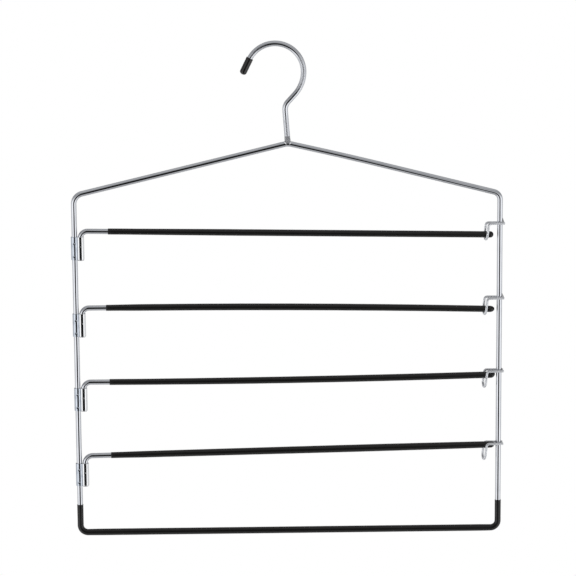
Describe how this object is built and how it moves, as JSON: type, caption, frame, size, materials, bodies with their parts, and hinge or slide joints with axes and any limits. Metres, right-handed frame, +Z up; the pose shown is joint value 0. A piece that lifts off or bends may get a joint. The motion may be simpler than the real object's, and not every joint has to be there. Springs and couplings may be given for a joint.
{
  "type": "swing-arm trouser rack",
  "caption": "Chrome wire trouser hanger: a hook over a peaked loop, with vinyl-covered arms that hinge on its left side wire and lie in wire stirrups on the right.",
  "frame": {"origin": "crown of the inside of the hook's crook, where the rail carries the rack", "axes": "+Z up, +X to the right seen from the front, with the hinges at -X and the rests at +X, +Y away from the front"},
  "size_m": [0.3713, 0.0108, 0.4309],
  "materials": {
    "chrome": "bright chrome plating on drawn steel wire",
    "plated_strip": "plated thin steel strip, slightly duller than the wire",
    "black_vinyl": "soft black vinyl, satin"
  },
  "bodies": {
    "frame": {"frame_wire": "chrome", "hook_wire": "chrome", "hook_tip_cap": "black_vinyl", "bottom_sleeve": "black_vinyl", "hinge_bracket_1": "plated_strip", "hinge_bracket_2": "plated_strip", "hinge_bracket_3": "plated_strip", "hinge_bracket_4": "plated_strip", "rest_stirrup_1": "chrome", "rest_stirrup_2": "chrome", "rest_stirrup_3": "chrome", "rest_stirrup_4": "chrome"},
    "arm_1": {"arm_wire_1": "chrome", "arm_sleeve_1": "black_vinyl"},
    "arm_2": {"arm_wire_2": "chrome", "arm_sleeve_2": "black_vinyl"},
    "arm_3": {"arm_wire_3": "chrome", "arm_sleeve_3": "black_vinyl"},
    "arm_4": {"arm_wire_4": "chrome", "arm_sleeve_4": "black_vinyl"}
  },
  "joints": [
    {"name": "arm_1_swing", "type": "hinge", "parent": "frame", "child": "arm_1", "pos_m": [-0.1675, 0, -0.15685], "axis": [0, 0, 1], "range_deg": [-105, 105]},
    {"name": "arm_2_swing", "type": "hinge", "parent": "frame", "child": "arm_2", "pos_m": [-0.1675, 0, -0.22385], "axis": [0, 0, 1], "range_deg": [-105, 105]},
    {"name": "arm_3_swing", "type": "hinge", "parent": "frame", "child": "arm_3", "pos_m": [-0.1675, 0, -0.28905], "axis": [0, 0, 1], "range_deg": [-105, 105]},
    {"name": "arm_4_swing", "type": "hinge", "parent": "frame", "child": "arm_4", "pos_m": [-0.1675, 0, -0.35465], "axis": [0, 0, 1], "range_deg": [-105, 105]}
  ]
}
